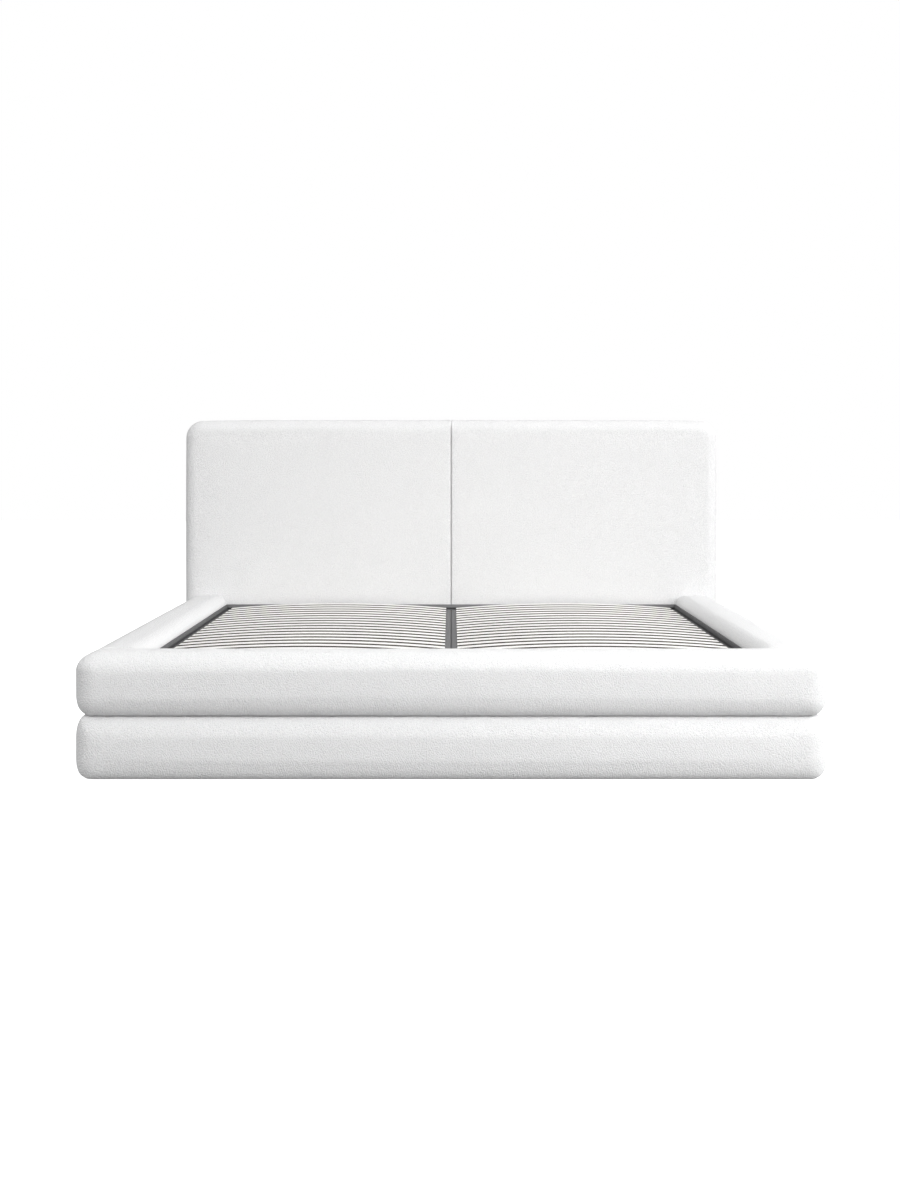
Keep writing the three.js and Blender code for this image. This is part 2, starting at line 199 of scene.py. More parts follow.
# %% [markdown]
# ## Powder-coated steel: the slat base
#
# The steel is sprayed with dry powder and baked. The coat is a matt mid grey. On the side rails it is drawn
# darker: painted shade for the rails low beside the bolsters. Its fine orange peel of about half a millimetre
# is drawn 2 mm wide so that it shows.

# %% Make the powder coat
ORANGE_PEEL = 2.0 * MM
PEEL_RELIEF = 0.05 * MM
WEAR = 71.4 * MM
WEAR_RANGE = (0.3, 0.7)
COAT_ROUGHNESS = (0.74, 0.84)


def powder_coat(name, pale, deep):
    """Baked powder coat over steel: an even colour, orange peel, and slightly uneven gloss."""
    coat, tree, surface = new_material(name, {"IOR": 1.5, "Metallic": 0.0, "Specular IOR Level": 0.3})
    place = add_node(tree, "TexCoord", output="Object")
    peel = add_node(tree, "TexNoise", {0: place, "Scale": 1 / ORANGE_PEEL, "Detail": 1})
    bump = add_node(tree, "Bump", {"Distance": PEEL_RELIEF, "Height": peel})
    wear = add_node(tree, "TexNoise", {0: place, "Scale": 1 / WEAR, "Detail": 4})
    gloss = add_node(tree, "MapRange", dict(enumerate([wear, *WEAR_RANGE, *COAT_ROUGHNESS])))
    colour = add_node(tree, "Mix", {0: wear, 6: deep, 7: pale}, 2, data_type="RGBA")
    feed(tree, surface, {"Base Color": colour, "Roughness": gloss, "Normal": bump})
    return coat


coated_steel = powder_coat("powder_coated_steel", "#7C7C7D", "#6D6D6E")
# The rails' coat is the same steel drawn darker: painted shade for the rails low beside the bolsters.
rail_steel_painted_shade = powder_coat("powder_coat_painted_shade", "#646465", "#585859")
print("powder coat: orange peel", ORANGE_PEEL / MM, "mm")

# %% [markdown]
# ## Laminated birch: the slats
#
# A sprung slat is glued from thin layers of birch, bent in a press and covered above and below with a pale
# film. The edges are bare, with the glue lines about 1.3 mm apart, and drawn dark brown: partly the birch and
# partly painted shade from the dark space under the slats. A map on each slat says how deep in the strip a
# point lies.

# %% Make the film and the bare edge
SLAT_LAYER = 1.33 * MM
GLUE_SHARE = 0.3
FILM_GRAIN = (260 * MM, 5 * MM, 1)
EDGE_GRAIN = (50 * MM, 3.33 * MM, 1.11 * MM)
FILM_RELIEF = 0.1 * MM


def grain_noise(tree, sizes, sockets):
    """Noise whose grains have three sizes, made by stretching the places that it is read at."""
    place = add_node(tree, "TexCoord", output="Object")
    stretched = add_node(tree, "Mapping", {0: place, "Scale": tuple(1 / size for size in sizes)})
    return add_node(tree, "TexNoise", {0: stretched, "Scale": 1, **sockets})


def depth_in_layer(tree, depth, thickness):
    """How far through its layer a depth lies, from 0 to 1."""
    layers = add_node(tree, "Math", {0: depth, 1: thickness}, operation="DIVIDE")
    return add_node(tree, "Math", {0: layers}, operation="FRACT")


pale_film, tree, surface = new_material("pale_film_on_birch", {"IOR": 1.5, "Roughness": 0.4})
grain = grain_noise(tree, FILM_GRAIN, {"Detail": 5, "Roughness": 0.6})
share = add_node(tree, "MapRange", {0: grain, 1: 0.3, 2: 0.7})
colour = add_node(tree, "Mix", {0: share, 6: "#F6F4F0", 7: "#FAF9F6"}, 2, data_type="RGBA")
bump = add_node(tree, "Bump", {"Strength": 0.4, "Distance": FILM_RELIEF, "Height": grain})
feed(tree, surface, {"Base Color": colour, "Normal": bump})

birch_edge_painted_shade, tree, surface = new_material("laminated_birch_edge_painted_shade", {"IOR": 1.5, "Roughness": 0.65})
depth_map = add_node(tree, "UVMap", uv_map="depth")
depth = add_node(tree, "SeparateXYZ", {0: depth_map}, 1)
share = add_node(tree, "MapRange", {0: depth_in_layer(tree, depth, SLAT_LAYER), 2: GLUE_SHARE})
grain = grain_noise(tree, EDGE_GRAIN, {"Detail": 3})
# The edge's browns are partly the birch and partly painted shade from the dark space under the slats.
edge_wood_and_shade = add_node(tree, "Mix", {0: grain, 6: "#2F2822", 7: "#463D34"}, 2, data_type="RGBA")
colour = add_node(tree, "Mix", {0: share, 6: "#1E1914", 7: edge_wood_and_shade}, 2, data_type="RGBA")
feed(tree, surface, {"Base Color": colour})
print("slat layers:", SLAT_LAYER / MM, "mm")

# %% [markdown]
# ## Birch plywood: the boards inside the rails
#
# The boards are sanded birch plywood. A solid pattern of layers across the board's thickness gives both its
# looks: a face shows one even layer with long pale grain, and an edge shows the plies as stripes 1.4 mm wide.

# %% Make the plywood
PLY = 1.4 * MM
WIDE_GRAIN = 9 * MM
LONG_GRAIN = 380 * MM
WOOD_RELIEF = 0.15 * MM


def plywood(name, through, grain_size):
    """Plywood whose plies are stacked along the axis numbered through."""
    board, tree, surface = new_material(name, {"IOR": 1.5, "Roughness": 0.7})
    place = add_node(tree, "TexCoord", output="Object")
    within = depth_in_layer(tree, add_node(tree, "SeparateXYZ", {0: place}, through), 2 * PLY)
    ply = add_node(tree, "Math", {0: within, 1: 0.5}, operation="GREATER_THAN")
    grain = grain_noise(tree, grain_size, {"Detail": 6, "Roughness": 0.62, "Distortion": 0.6})
    pale = add_node(tree, "Mix", {0: grain, 6: "#C39F6B", 7: "#E2C79B"}, 2, data_type="RGBA")
    deep = add_node(tree, "Mix", {0: grain, 6: "#94703F", 7: "#B8935F"}, 2, data_type="RGBA")
    colour = add_node(tree, "Mix", {0: ply, 6: pale, 7: deep}, 2, data_type="RGBA")
    bump = add_node(tree, "Bump", {"Strength": 0.5, "Distance": WOOD_RELIEF, "Height": grain})
    feed(tree, surface, {"Base Color": colour, "Normal": bump})
    return board


plywood_across_x = plywood("birch_plywood_side", 0, (WIDE_GRAIN, LONG_GRAIN, WIDE_GRAIN))
plywood_across_y = plywood("birch_plywood_cross", 1, (LONG_GRAIN, WIDE_GRAIN, WIDE_GRAIN))
print("plies:", PLY / MM, "mm")

# %% [markdown]
# ## Zinc plate, polypropylene and a dark strip of painted shade: the small parts
#
# Brackets, bolts and staples are steel with a bright zinc plate, whose roughness varies in small cloudy
# crystals. The legs' soles are black polypropylene with a fine spark-eroded texture and a broad soft shine.
# The strips in the angles are a dull dark grey: painted shade for the shadowed recess at the foot of each
# upright.

# %% Make the zinc plate, the moulded plastic and the strips of painted shade
CRYSTAL = 5.56 * MM
ZINC_ROUGHNESS = (0.24, 0.5)
POLYMER_RELIEF = 0.04 * MM


def dark_polymer(name, colour, ior, roughness, grain):
    """A dark polymer: moulded plastic, or the dark strips of painted shade. Its fine texture has a grain of
    its own size.
    """
    polymer, tree, surface = new_material(
        name, {"IOR": ior, "Base Color": colour, "Roughness": roughness})
    place = add_node(tree, "TexCoord", output="Object")
    texture = add_node(tree, "TexNoise", {0: place, "Scale": 1 / grain, "Detail": 1})
    feed(tree, surface, {"Normal": add_node(tree, "Bump", {"Distance": POLYMER_RELIEF, "Height": texture})})
    return polymer


zinc, tree, surface = new_material("zinc_plated_steel", {"Metallic": 1.0, "Base Color": "#C4C8CA"})
place = add_node(tree, "TexCoord", output="Object")
cloud = add_node(tree, "TexNoise", {0: place, "Scale": 1 / CRYSTAL, "Detail": 3})
gloss = add_node(tree, "MapRange", {0: cloud, 3: ZINC_ROUGHNESS[0], 4: ZINC_ROUGHNESS[1]})
feed(tree, surface, {"Roughness": gloss})
black_plastic = dark_polymer("moulded_polypropylene", "#222324", 1.49, 0.55, 1.1 * MM)
# Dark grey for the strips in the angles: painted shade for the shadowed recess there.
painted_shade = dark_polymer("dark_strip_painted_shade", "#353536", 1.52, 0.8, 1.8 * MM)
print("small parts:", zinc.name, black_plastic.name, painted_shade.name)

# %% [markdown]
# ## Meshes and pieces
#
# Every form below ends as one closed mesh. One function turns points and faces into a mesh, and another makes
# the object, rides it on its body and hides the CAD nodes that it stands for.

# %% Make the helpers for pieces
CRISP = math.radians(38)


def make_mesh(name, points, faces, materials):
    """A mesh of points and faces, with its faces pointing out."""
    mesh = bpy.data.meshes.new(name)
    mesh.from_pydata([tuple(point) for point in points], [], faces)
    form = bmesh.new()
    form.from_mesh(mesh)
    bmesh.ops.recalc_face_normals(form, faces=form.faces)
    return baked(form, mesh, materials)


def baked(form, mesh, materials):
    """Leaves a form's shape in a mesh, smooth but for its sharp edges."""
    form.to_mesh(mesh)
    form.free()
    for material in materials:
        mesh.materials.append(material)
    soften(mesh)
    return mesh


def ring_faces(count, rings, ends="open"):
    """Quads that join rings of count points. The ends stay open, are capped, or join as in a loop."""
    last = (rings - 1) * count
    faces = [tuple(range(count)), tuple(range(last, last + count))] if ends == "capped" else []
    for ring in range(rings if ends == "looped" else rings - 1):
        one, two = ring * count, (ring + 1) % rings * count
        faces += [(one + k, one + (k + 1) % count, two + (k + 1) % count, two + k) for k in range(count)]
    return faces


def soften(mesh):
    """Smooth shading that stays crisp over sharp edges."""
    mesh.polygons.foreach_set("use_smooth", [True] * len(mesh.polygons))
    mesh.set_sharp_from_angle(angle=CRISP)
    mesh.update()


def add_piece(mesh, body, replaces=()):
    """The piece made of a mesh, riding on a body."""
    piece = new_object(mesh.name, mesh)
    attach(piece, body)
    if replaces:
        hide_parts(*replaces)
    return piece


print("edges stay crisp over", round(math.degrees(CRISP)), "degrees")

# %% [markdown]
# ## A padded form
#
# Under a tight cover, foam slopes long on one face and short on the next. So each rounded edge is a quarter
# ellipse, with a reach and a draw. A form is a row of rings, drawn in near its ends along the same kind of
# curve. A grid of quads closes each end, as a fan of thin triangles would pinch when it is inflated.

# %% Draw the rings of a padded form
CORNER_STEPS = 5
LEAST_EDGE = 5 * MM


def draw_in(edge, distance):
    """How far a face is drawn in at a distance from an end that is rounded as a quarter ellipse."""
    reach, draw = edge
    if reach <= 0 or distance >= reach:
        return 0.0
    return draw * (1 - math.sqrt(1 - (1 - distance / reach) ** 2))


def padded_ring(width, height, edges, insets, steps):
    """A ring round a section from (0, 0) to (width, height). Each side runs from the middle of one corner
    to the middle of the next: bottom, far, top and near."""
    near, far, bottom, top = insets
    corners = [(near, bottom, edges[0], 1, 1), (far, bottom, edges[1], -1, 1),
               (far, top, edges[2], -1, -1), (near, top, edges[3], 1, -1)]
    arcs = []
    for quarter, (side, end, (reach, draw), sign_u, sign_v) in enumerate(corners):
        reach, draw = max(reach - side, LEAST_EDGE), max(draw - end, LEAST_EDGE)
        centre_u = side + reach if sign_u > 0 else width - side - reach
        centre_v = end + draw if sign_v > 0 else height - end - draw
        turns = math.pi + (quarter + np.linspace(0, 1, 2 * CORNER_STEPS + 1)) * math.pi / 2
        arcs.append(np.column_stack([centre_u + reach * np.cos(turns), centre_v + draw * np.sin(turns)]))
    ring = []
    for quarter, arc in enumerate(arcs):
        following = arcs[(quarter + 1) % 4]
        shares = np.linspace(0, 1, steps[quarter % 2] + 1)[1:-1, None]
        ring += [arc[CORNER_STEPS:], arc[-1] + (following[0] - arc[-1]) * shares, following[:CORNER_STEPS]]
    return np.vstack(ring)


def grid_over(ring, across, up):
    """The points inside a ring of four sides, so that quads can close it, and all its points by row."""
    bottom = ring[:across + 1]
    far = ring[across:across + up + 1]
    top = ring[across + up:2 * across + up + 1][::-1]
    near = np.vstack([ring[2 * across + up:], ring[:1]])[::-1]
    s = np.linspace(0, 1, across + 1)[None, :, None]
    t = np.linspace(0, 1, up + 1)[:, None, None]
    sides = (1 - t) * bottom[None] + t * top[None] + (1 - s) * near[:, None] + s * far[:, None]
    corners = (1 - t) * ((1 - s) * bottom[0] + s * bottom[-1]) + t * ((1 - s) * top[0] + s * top[-1])
    return (sides - corners)[1:-1, 1:-1].reshape(-1, 3)


def close_rings(rings, across, up):
    """Points and quads of a closed form through rings, with a grid over each end."""
    count, points = len(rings[0]), np.vstack(rings)
    faces = ring_faces(count, len(rings))
    for first in (0, (len(rings) - 1) * count):
        inner = grid_over(points[first:first + count], across, up)
        table = np.empty((up + 1, across + 1), int)
        table[0] = first + np.arange(across + 1)
        table[:, -1] = first + across + np.arange(up + 1)
        table[-1] = first + across + up + np.arange(across + 1)[::-1]
        table[:, 0] = first + (2 * across + up + np.arange(up + 1)[::-1]) % count
        table[1:-1, 1:-1] = len(points) + np.arange(len(inner)).reshape(up - 1, across - 1)
        points = np.vstack([points, inner])
        for j in range(up):
            for i in range(across):
                faces.append((table[j, i], table[j, i + 1], table[j + 1, i + 1], table[j + 1, i]))
    return points, [tuple(int(corner) for corner in face) for face in faces]


print("least edge:", LEAST_EDGE / MM, "mm")

# %% [markdown]
# ## The bolsters
#
# A rail is two bolsters, one on the other, and where they meet they leave a deep tight groove round the bed.
# The foot bolsters run the full width and turn their outer corners, and the side bolsters butt against them.
# The upper edge slopes out long and low, and the inner edge rolls down to the slat base.

# %% Take the bed's places from the frame
upper_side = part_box("upper_bolster_right")
upper_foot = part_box("upper_bolster_foot")
lower_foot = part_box("lower_bolster_foot")
well_half_width = upper_side[0].x
bed_half_width = upper_side[1].x
well_foot = upper_foot[1].y
bolster_width = bed_half_width - well_half_width
print("well:", round(2 * well_half_width, 3), "by", round(headboard_front - well_foot, 3), "m")

# %% Choose the bolsters' edges
TOP_EDGE = (74 * MM, 52 * MM)
UPPER_SEAM_EDGE = (36 * MM, 53 * MM)
LOWER_SEAM_EDGE = (54 * MM, 58 * MM)
HEM_EDGE = (24 * MM, 56 * MM)
WELL_EDGE = (39 * MM, 39 * MM)
HIDDEN_EDGE = (5 * MM, 5 * MM)
BUTT_EDGE = (8 * MM, 8 * MM)
FOOT_CORNER = (65 * MM, 65 * MM)
UPPER_SEAM_END = (46 * MM, 70 * MM)
LOWER_SEAM_END = (26 * MM, 75 * MM)
HEM_END = (50 * MM, 58 * MM)
NO_EDGE = (0.0, 0.0)
FACE_CROWN = 3 * MM
RING_SPACING = 15 * MM
END_STEPS = 12
BOLSTER_STEPS = (8, 8)


def places_along(start, finish, reach):
    """Places of rings from start to finish, closer together where the ends round off."""
    rounding = reach * (1 - np.cos(np.linspace(0, math.pi / 2, END_STEPS + 1)[:-1]))
    count = max(2, round((finish - start - 2 * reach) / RING_SPACING))
    middle = np.linspace(start + reach, finish - reach, count + 1)
    return np.concatenate([start + rounding, middle, (finish - rounding)[::-1]])


def bolster_form(edges, height, end_edges, start, finish, place):
    """Points and quads of a bolster. place turns out, up and along into a point of the bed."""
    rings = []
    for along in places_along(start, finish, max(reach for reach, _ in end_edges)):
        distance = min(along - start, finish - along)
        insets = [draw_in(edge, distance) for edge in end_edges]
        out, up = padded_ring(bolster_width, height, edges, insets, BOLSTER_STEPS).T
        out = out - FACE_CROWN * (2 * up / height - 1) ** 2 * out / bolster_width
        rings.append(np.column_stack(place(out, up, np.full_like(out, along))))
    across, rise = (2 * CORNER_STEPS + steps for steps in BOLSTER_STEPS)
    return close_rings(rings, across, rise)


print("top edge:", [size / MM for size in TOP_EDGE], "mm")

# %% Make the six bolsters
TIERS = {
    "upper": (upper_foot[0].z, upper_foot[1].z, [HIDDEN_EDGE, UPPER_SEAM_EDGE, TOP_EDGE, WELL_EDGE],
              [UPPER_SEAM_END, TOP_EDGE]),
    "lower": (lower_foot[0].z, lower_foot[1].z, [HIDDEN_EDGE, HEM_EDGE, LOWER_SEAM_EDGE, HIDDEN_EDGE],
              [HEM_END, LOWER_SEAM_END]),
}
side_start, side_finish = upper_side[0].y, upper_side[1].y
soft_forms = {}
for tier, (bottom, top, edges, foot_ends) in TIERS.items():
    for side, sign in SIDES.items():
        def beside(out, up, along, sign=sign, bottom=bottom):
            return sign * (well_half_width + out), along, bottom + up
        soft_forms[f"{tier}_bolster_{side}"] = bolster_form(
            edges, top - bottom, [BUTT_EDGE] * 4, side_start, side_finish, beside)

    def across_foot(out, up, along, bottom=bottom):
        return along, well_foot - out, bottom + up
    soft_forms[f"{tier}_bolster_foot"] = bolster_form(
        edges, top - bottom, [NO_EDGE, FOOT_CORNER, *foot_ends], -bed_half_width, bed_half_width, across_foot)
print("bolsters:", {name: len(points) for name, (points, _) in soft_forms.items()})

# %% [markdown]
# ## The headboard pads
#
# Two thick foam pads meet in a narrow seam. Each is rounded over at its front, and its top falls a little
# towards the outer corner, where the cover pulls the foam down. The rings run from the front to the back.

# %% Make the two pads
PAD_CORNER = (66 * MM, 66 * MM)
PAD_FRONT = (48 * MM, 48 * MM)
PAD_SEAM = (14 * MM, 6 * MM)
PAD_SEAM_CORNER = (6 * MM, 6 * MM)
PAD_HEM = (12 * MM, 12 * MM)
PAD_BACK = (5 * MM, 5 * MM)
PAD_BACK_RINGS = 4
PAD_SIDE_CROWN = 2 * MM
SHOULDER_FALL = 7 * MM
SHOULDER_POWER = 8
PAD_STEPS = (72, 72)
PAD_CORNERS = [PAD_SEAM_CORNER, PAD_HEM, PAD_CORNER, PAD_SEAM_CORNER]

pad_low, pad_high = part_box("headboard_pad_right")
pad_width, pad_thickness, pad_height = pad_high - pad_low


def pad_form(sign):
    """Points and quads of one headboard pad."""
    rounding = PAD_FRONT[0] * (1 - np.cos(np.linspace(0, math.pi / 2, END_STEPS + 1)))
    back = pad_thickness - PAD_BACK[0] * np.linspace(1, 0, PAD_BACK_RINGS)
    rings = []
    for depth in np.concatenate([rounding, [(rounding[-1] + back[0]) / 2], back]):
        behind = draw_in(PAD_BACK, pad_thickness - depth)
        insets = [max(draw_in(edge, depth), behind) for edge in (PAD_SEAM, PAD_FRONT, PAD_HEM, PAD_FRONT)]
        across, up = padded_ring(pad_width, pad_height, PAD_CORNERS, insets, PAD_STEPS).T
        across = across - PAD_SIDE_CROWN * (2 * up / pad_height - 1) ** 2 * across / pad_width
        up = up - SHOULDER_FALL * (across / pad_width) ** SHOULDER_POWER * up / pad_height
        rings.append(np.column_stack([sign * (pad_low.x + across), np.full_like(up, pad_low.y + depth),
                                      pad_low.z + up]))
    count = 2 * CORNER_STEPS + PAD_STEPS[0]
    return close_rings(rings, count, count)


for side, sign in SIDES.items():
    soft_forms[f"headboard_pad_{side}"] = pad_form(sign)
print("pads:", round(pad_width, 3), "by", round(pad_height, 3), "by", round(pad_thickness, 3), "m")

# %% Room for the boards
SEAT = 0.3 * MM
OVERRUN = 20 * MM
# How far the room round a board goes past it, at the low and the high ends of X, Y and Z.
BOARD_ROOM = {"foot": ((SEAT, SEAT, OVERRUN), (SEAT, OVERRUN, SEAT)),
              "right": ((OVERRUN, OVERRUN, OVERRUN), (SEAT, OVERRUN, SEAT)),
              "left": ((SEAT, OVERRUN, OVERRUN), (OVERRUN, OVERRUN, SEAT))}


def cut_room(piece, low, high):
    """Cuts a box out of a piece, as its foam is cut away over a board."""
    corners = [(x, y, z) for x in (low[0], high[0]) for y in (low[1], high[1]) for z in (low[2], high[2])]
    faces = [(0, 1, 3, 2), (4, 6, 7, 5), (0, 4, 5, 1), (2, 3, 7, 6), (0, 2, 6, 4), (1, 5, 7, 3)]
    tool = new_object("room", make_mesh("room", corners, faces, []))
    change = piece.modifiers.new("room", "BOOLEAN")
    change.operation, change.object, change.solver = "DIFFERENCE", tool, "EXACT"
    apply_modifiers(piece)
    bpy.data.objects.remove(tool)


def apply_modifiers(piece):
    """Leaves the piece with the mesh that its modifiers make."""
    shown = piece.evaluated_get(bpy.context.evaluated_depsgraph_get())
    mesh = bpy.data.meshes.new_from_object(shown)
    mesh.name = piece.data.name
    piece.modifiers.clear()
    piece.data = mesh
    soften(mesh)


print("room round a board:", SEAT / MM, "mm")

# %% [markdown]
# ## Blowing up the covers
#
# A cover is sewn a little smaller than its foam, so the foam presses it out until the cloth is taut. So each
# form starts drawn in by 1.5 mm, is given some pressure, and swells. It is pinned where it is stapled to a
# board, and where the next piece presses against it. The pressure alone would bulge it far more than a tight
# cover allows, so no point may end further than a limit from the measured outline.

# %% Choose how the covers swell
DRAWN_IN = 1.5 * MM
SWELL_LIMIT = 1.3 * MM
COVER_SETTINGS = {"vertex_group_mass": "staples", "use_pressure": True, "uniform_pressure_force": 4.0,
                  "tension_stiffness": 60, "compression_stiffness": 60, "shear_stiffness": 30,
                  "bending_stiffness": 5}
SWELL_FRAMES = 20
STAPLE_ROOM = 12 * MM
TOUCH = 2 * MM


def corners_of(mesh):
    """The corners of a mesh as an array."""
    flat = np.empty(3 * len(mesh.vertices))
    mesh.vertices.foreach_get("co", flat)
    return flat.reshape(-1, 3)


def swell(piece, pinned):
    """Swells a padded piece by cloth simulation, but for its pinned corners. Gives the longest move kept."""
    outline = corners_of(piece.data)
    normals = np.array([corner.normal for corner in piece.data.vertices])
    drawn = outline - normals * DRAWN_IN * ~pinned[:, None]
    piece.data.vertices.foreach_set("co", drawn.ravel())
    staples = piece.vertex_groups.new(name="staples")
    staples.add([int(corner) for corner in np.nonzero(pinned)[0]], 1.0, "REPLACE")
    cover = piece.modifiers.new("cover", "CLOTH")
    for setting, value in COVER_SETTINGS.items():
        setattr(cover.settings, setting, value)
    cover.settings.effector_weights.gravity = 0
    cover.collision_settings.use_collision = False
    cover.point_cache.frame_end = SWELL_FRAMES
    for step in range(1, SWELL_FRAMES + 1):
        bpy.context.scene.frame_set(step)
    shown = piece.evaluated_get(bpy.context.evaluated_depsgraph_get())
    moves = corners_of(shown.data) - outline
    lengths = np.linalg.norm(moves, axis=1, keepdims=True)
    moves *= np.minimum(1, SWELL_LIMIT / np.maximum(lengths, SWELL_LIMIT))
    piece.modifiers.clear()
    piece.vertex_groups.clear()
    piece.data.vertices.foreach_set("co", (outline + moves).ravel())
    bpy.context.scene.frame_set(1)
    return float(np.linalg.norm(moves, axis=1).max())


def room_round(name):
    """The room that a bolster's foam leaves for the board inside it."""
    side = name.rsplit("_", 1)[1]
    low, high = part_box("foot_board" if side == "foot" else "side_board_" + side)
    below, beyond = BOARD_ROOM[side]
    return np.array(low) - below, np.array(high) + beyond


def held_places(name, corners):
    """Which corners of a cover are held: on the floor or the next piece, and round the board inside."""
    low, high = corners.min(axis=0) + TOUCH, corners.max(axis=0) - TOUCH
    held = corners[:, 2] < low[2]
    if "pad" in name:
        return held | (corners[:, 1] > high[1]) | (np.abs(corners[:, 0]) < pad_low.x + PAD_SEAM[1] + TOUCH)
    if "lower" in name:
        held |= corners[:, 2] > high[2]
    if "foot" not in name:
        held |= (corners[:, 1] < low[1]) | (corners[:, 1] > high[1])
    room_low, room_high = room_round(name)
    return held | ((corners > room_low - STAPLE_ROOM) & (corners < room_high + STAPLE_ROOM)).all(axis=1)


print("covers end within", SWELL_LIMIT / MM, "mm of their outlines")

# %% Add the padded pieces
for name, (points, faces) in soft_forms.items():
    mesh = make_mesh(name + "_cover", points, faces, [cover_cloth])
    piece = add_piece(mesh, "bedstead", [name])
    longest = swell(piece, held_places(name, corners_of(mesh)))
    print(name, "moves by up to", round(longest / MM, 1), "mm")
    piece.modifiers.new("fine", "SUBSURF").levels = 1
    apply_modifiers(piece)
    if "bolster" in name:
        cut_room(piece, *room_round(name))
print("padded pieces:", len(soft_forms))

# %% [markdown]
# ## The sprung slats
#
# Each slat is a strip 8 mm thick, bowed upwards so that it gives under load. A ring of its section is carried
# along a parabola. The faces on top and below take the film, and the rounded edges stay bare.

# %% Make the slats
SLAT_EDGE_RADIUS = 2.5 * MM
SLAT_STEPS = 28
EDGE_STEPS = 4
SLAT_THICKNESS = 8 * MM
SLAT_RISE = 19 * MM
FILM_SLOPE = 0.97


def rounded_ring(low, high, radius):
    """A rectangle with rounded corners, from low to high, as a ring of points."""
    middles = [(low[0] + radius, low[1] + radius), (high[0] - radius, low[1] + radius),
               (high[0] - radius, high[1] - radius), (low[0] + radius, high[1] - radius)]
    ring = []
    for quarter, (u, v) in enumerate(middles):
        turns = math.pi + (quarter + np.linspace(0, 1, EDGE_STEPS + 1)) * math.pi / 2
        ring.append(np.column_stack([u + radius * np.cos(turns), v + radius * np.sin(turns)]))
    return np.vstack(ring)


def slat_mesh(name):
    """A bowed slat in the room that its CAD node holds."""
    low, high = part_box(name)
    section = rounded_ring((low.y, 0), (high.y, SLAT_THICKNESS), SLAT_EDGE_RADIUS)
    shares = np.linspace(0, 1, SLAT_STEPS + 1)
    rises = SLAT_RISE * (1 - (2 * shares - 1) ** 2)
    points = [(low.x + (high.x - low.x) * share, y, low.z + rise + up)
              for share, rise in zip(shares, rises) for y, up in section]
    faces = ring_faces(len(section), SLAT_STEPS + 1, "capped")
    mesh = make_mesh(name + "_strip", points, faces, [pale_film, birch_edge_painted_shade])
    depths = np.tile(section[:, 1], SLAT_STEPS + 1)
    layer = mesh.uv_layers.new(name="depth")
    for face in mesh.polygons:
        face.material_index = 0 if abs(face.normal.z) > FILM_SLOPE else 1
        for loop in face.loop_indices:
            corner = mesh.loops[loop].vertex_index
            layer.data[loop].uv = (mesh.vertices[corner].co.x, depths[corner])
    return mesh


slats = sorted(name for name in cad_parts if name.startswith("slat_"))
for name in slats:
    add_piece(slat_mesh(name), "slat_base", [name])
print("slats:", len(slats))

# %% [markdown]
# ## Steel tube
#
# The beam down the middle of the base is two rectangular tubes, welded side by side. Tube is rolled from
# strip, so its corners are round. One ring of the section is carried along the tube, and a smaller one
# makes the bore.

# %% Make the helpers for tube and bar
def sweep(name, outer, start, finish, place, materials, bore=None):
    """A straight length of a ring's section, solid or with a bore of as many points."""
    rings, ends = [place(*outer.T, along) for along in (start, finish)], "capped"
    if bore is not None:
        rings, ends = rings + [place(*bore.T, along) for along in (finish, start)], "looped"
    points = np.vstack([np.column_stack(np.broadcast_arrays(*ring)) for ring in rings])
    return make_mesh(name, points, ring_faces(len(outer), len(rings), ends), materials)


def along_y(sign=1):
    """Lays a section drawn as (across, up) along Y, on the right or mirrored."""
    return lambda across, up, along: (sign * across, along, up)


def along_x(across, up, along):
    """Lays a section drawn as (towards the head, up) along X."""
    return along, across, up


def upright(across, deep, up):
    """Stands a section drawn in plan."""
    return across, deep, up


print("a section's point (1, 2) at 3 along X:", along_x(1, 2, 3))

# %% Make the centre beam
TUBE_CORNER = 3 * MM
TUBE_WALL = 2 * MM
STRIP_EDGE = 0.8 * MM
GROOVE = 3 * MM
GROOVE_DEPTH = 6 * MM

beam_low, beam_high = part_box("centre_beam")
low, high = np.array([GROOVE / 2, beam_low.z]), np.array([beam_high.x, beam_high.z])
outer = rounded_ring(low, high, TUBE_CORNER)
bore = rounded_ring(low + TUBE_WALL, high - TUBE_WALL, TUBE_CORNER - TUBE_WALL)
for side, sign in SIDES.items():
    mesh = sweep(f"beam_tube_{side}", outer, beam_low.y, beam_high.y, along_y(sign), [coated_steel], bore)
    add_piece(mesh, "slat_base", ["centre_beam"] if side == "right" else [])
filler = rounded_ring((-GROOVE / 2, beam_low.z + GROOVE_DEPTH), (GROOVE / 2, beam_high.z - GROOVE_DEPTH),
                      STRIP_EDGE)
mesh = sweep("beam_weld_strip", filler, beam_low.y, beam_high.y, along_y(), [coated_steel])
add_piece(mesh, "slat_base")
print("centre beam:", round(2 * beam_high.x / MM), "mm wide")

# %% [markdown]
# ## Turned and moulded parts
#
# The legs under the centre beam, their soles and the heads of bolts are round, so each is a profile turned
# about an axis. The recess in a bolt head is six-sided, but its rings have as many points as the round ones,
# so the same quads join them.

# %% Make the legs
TURN_STEPS = 48
SIXTH = math.tau / 6


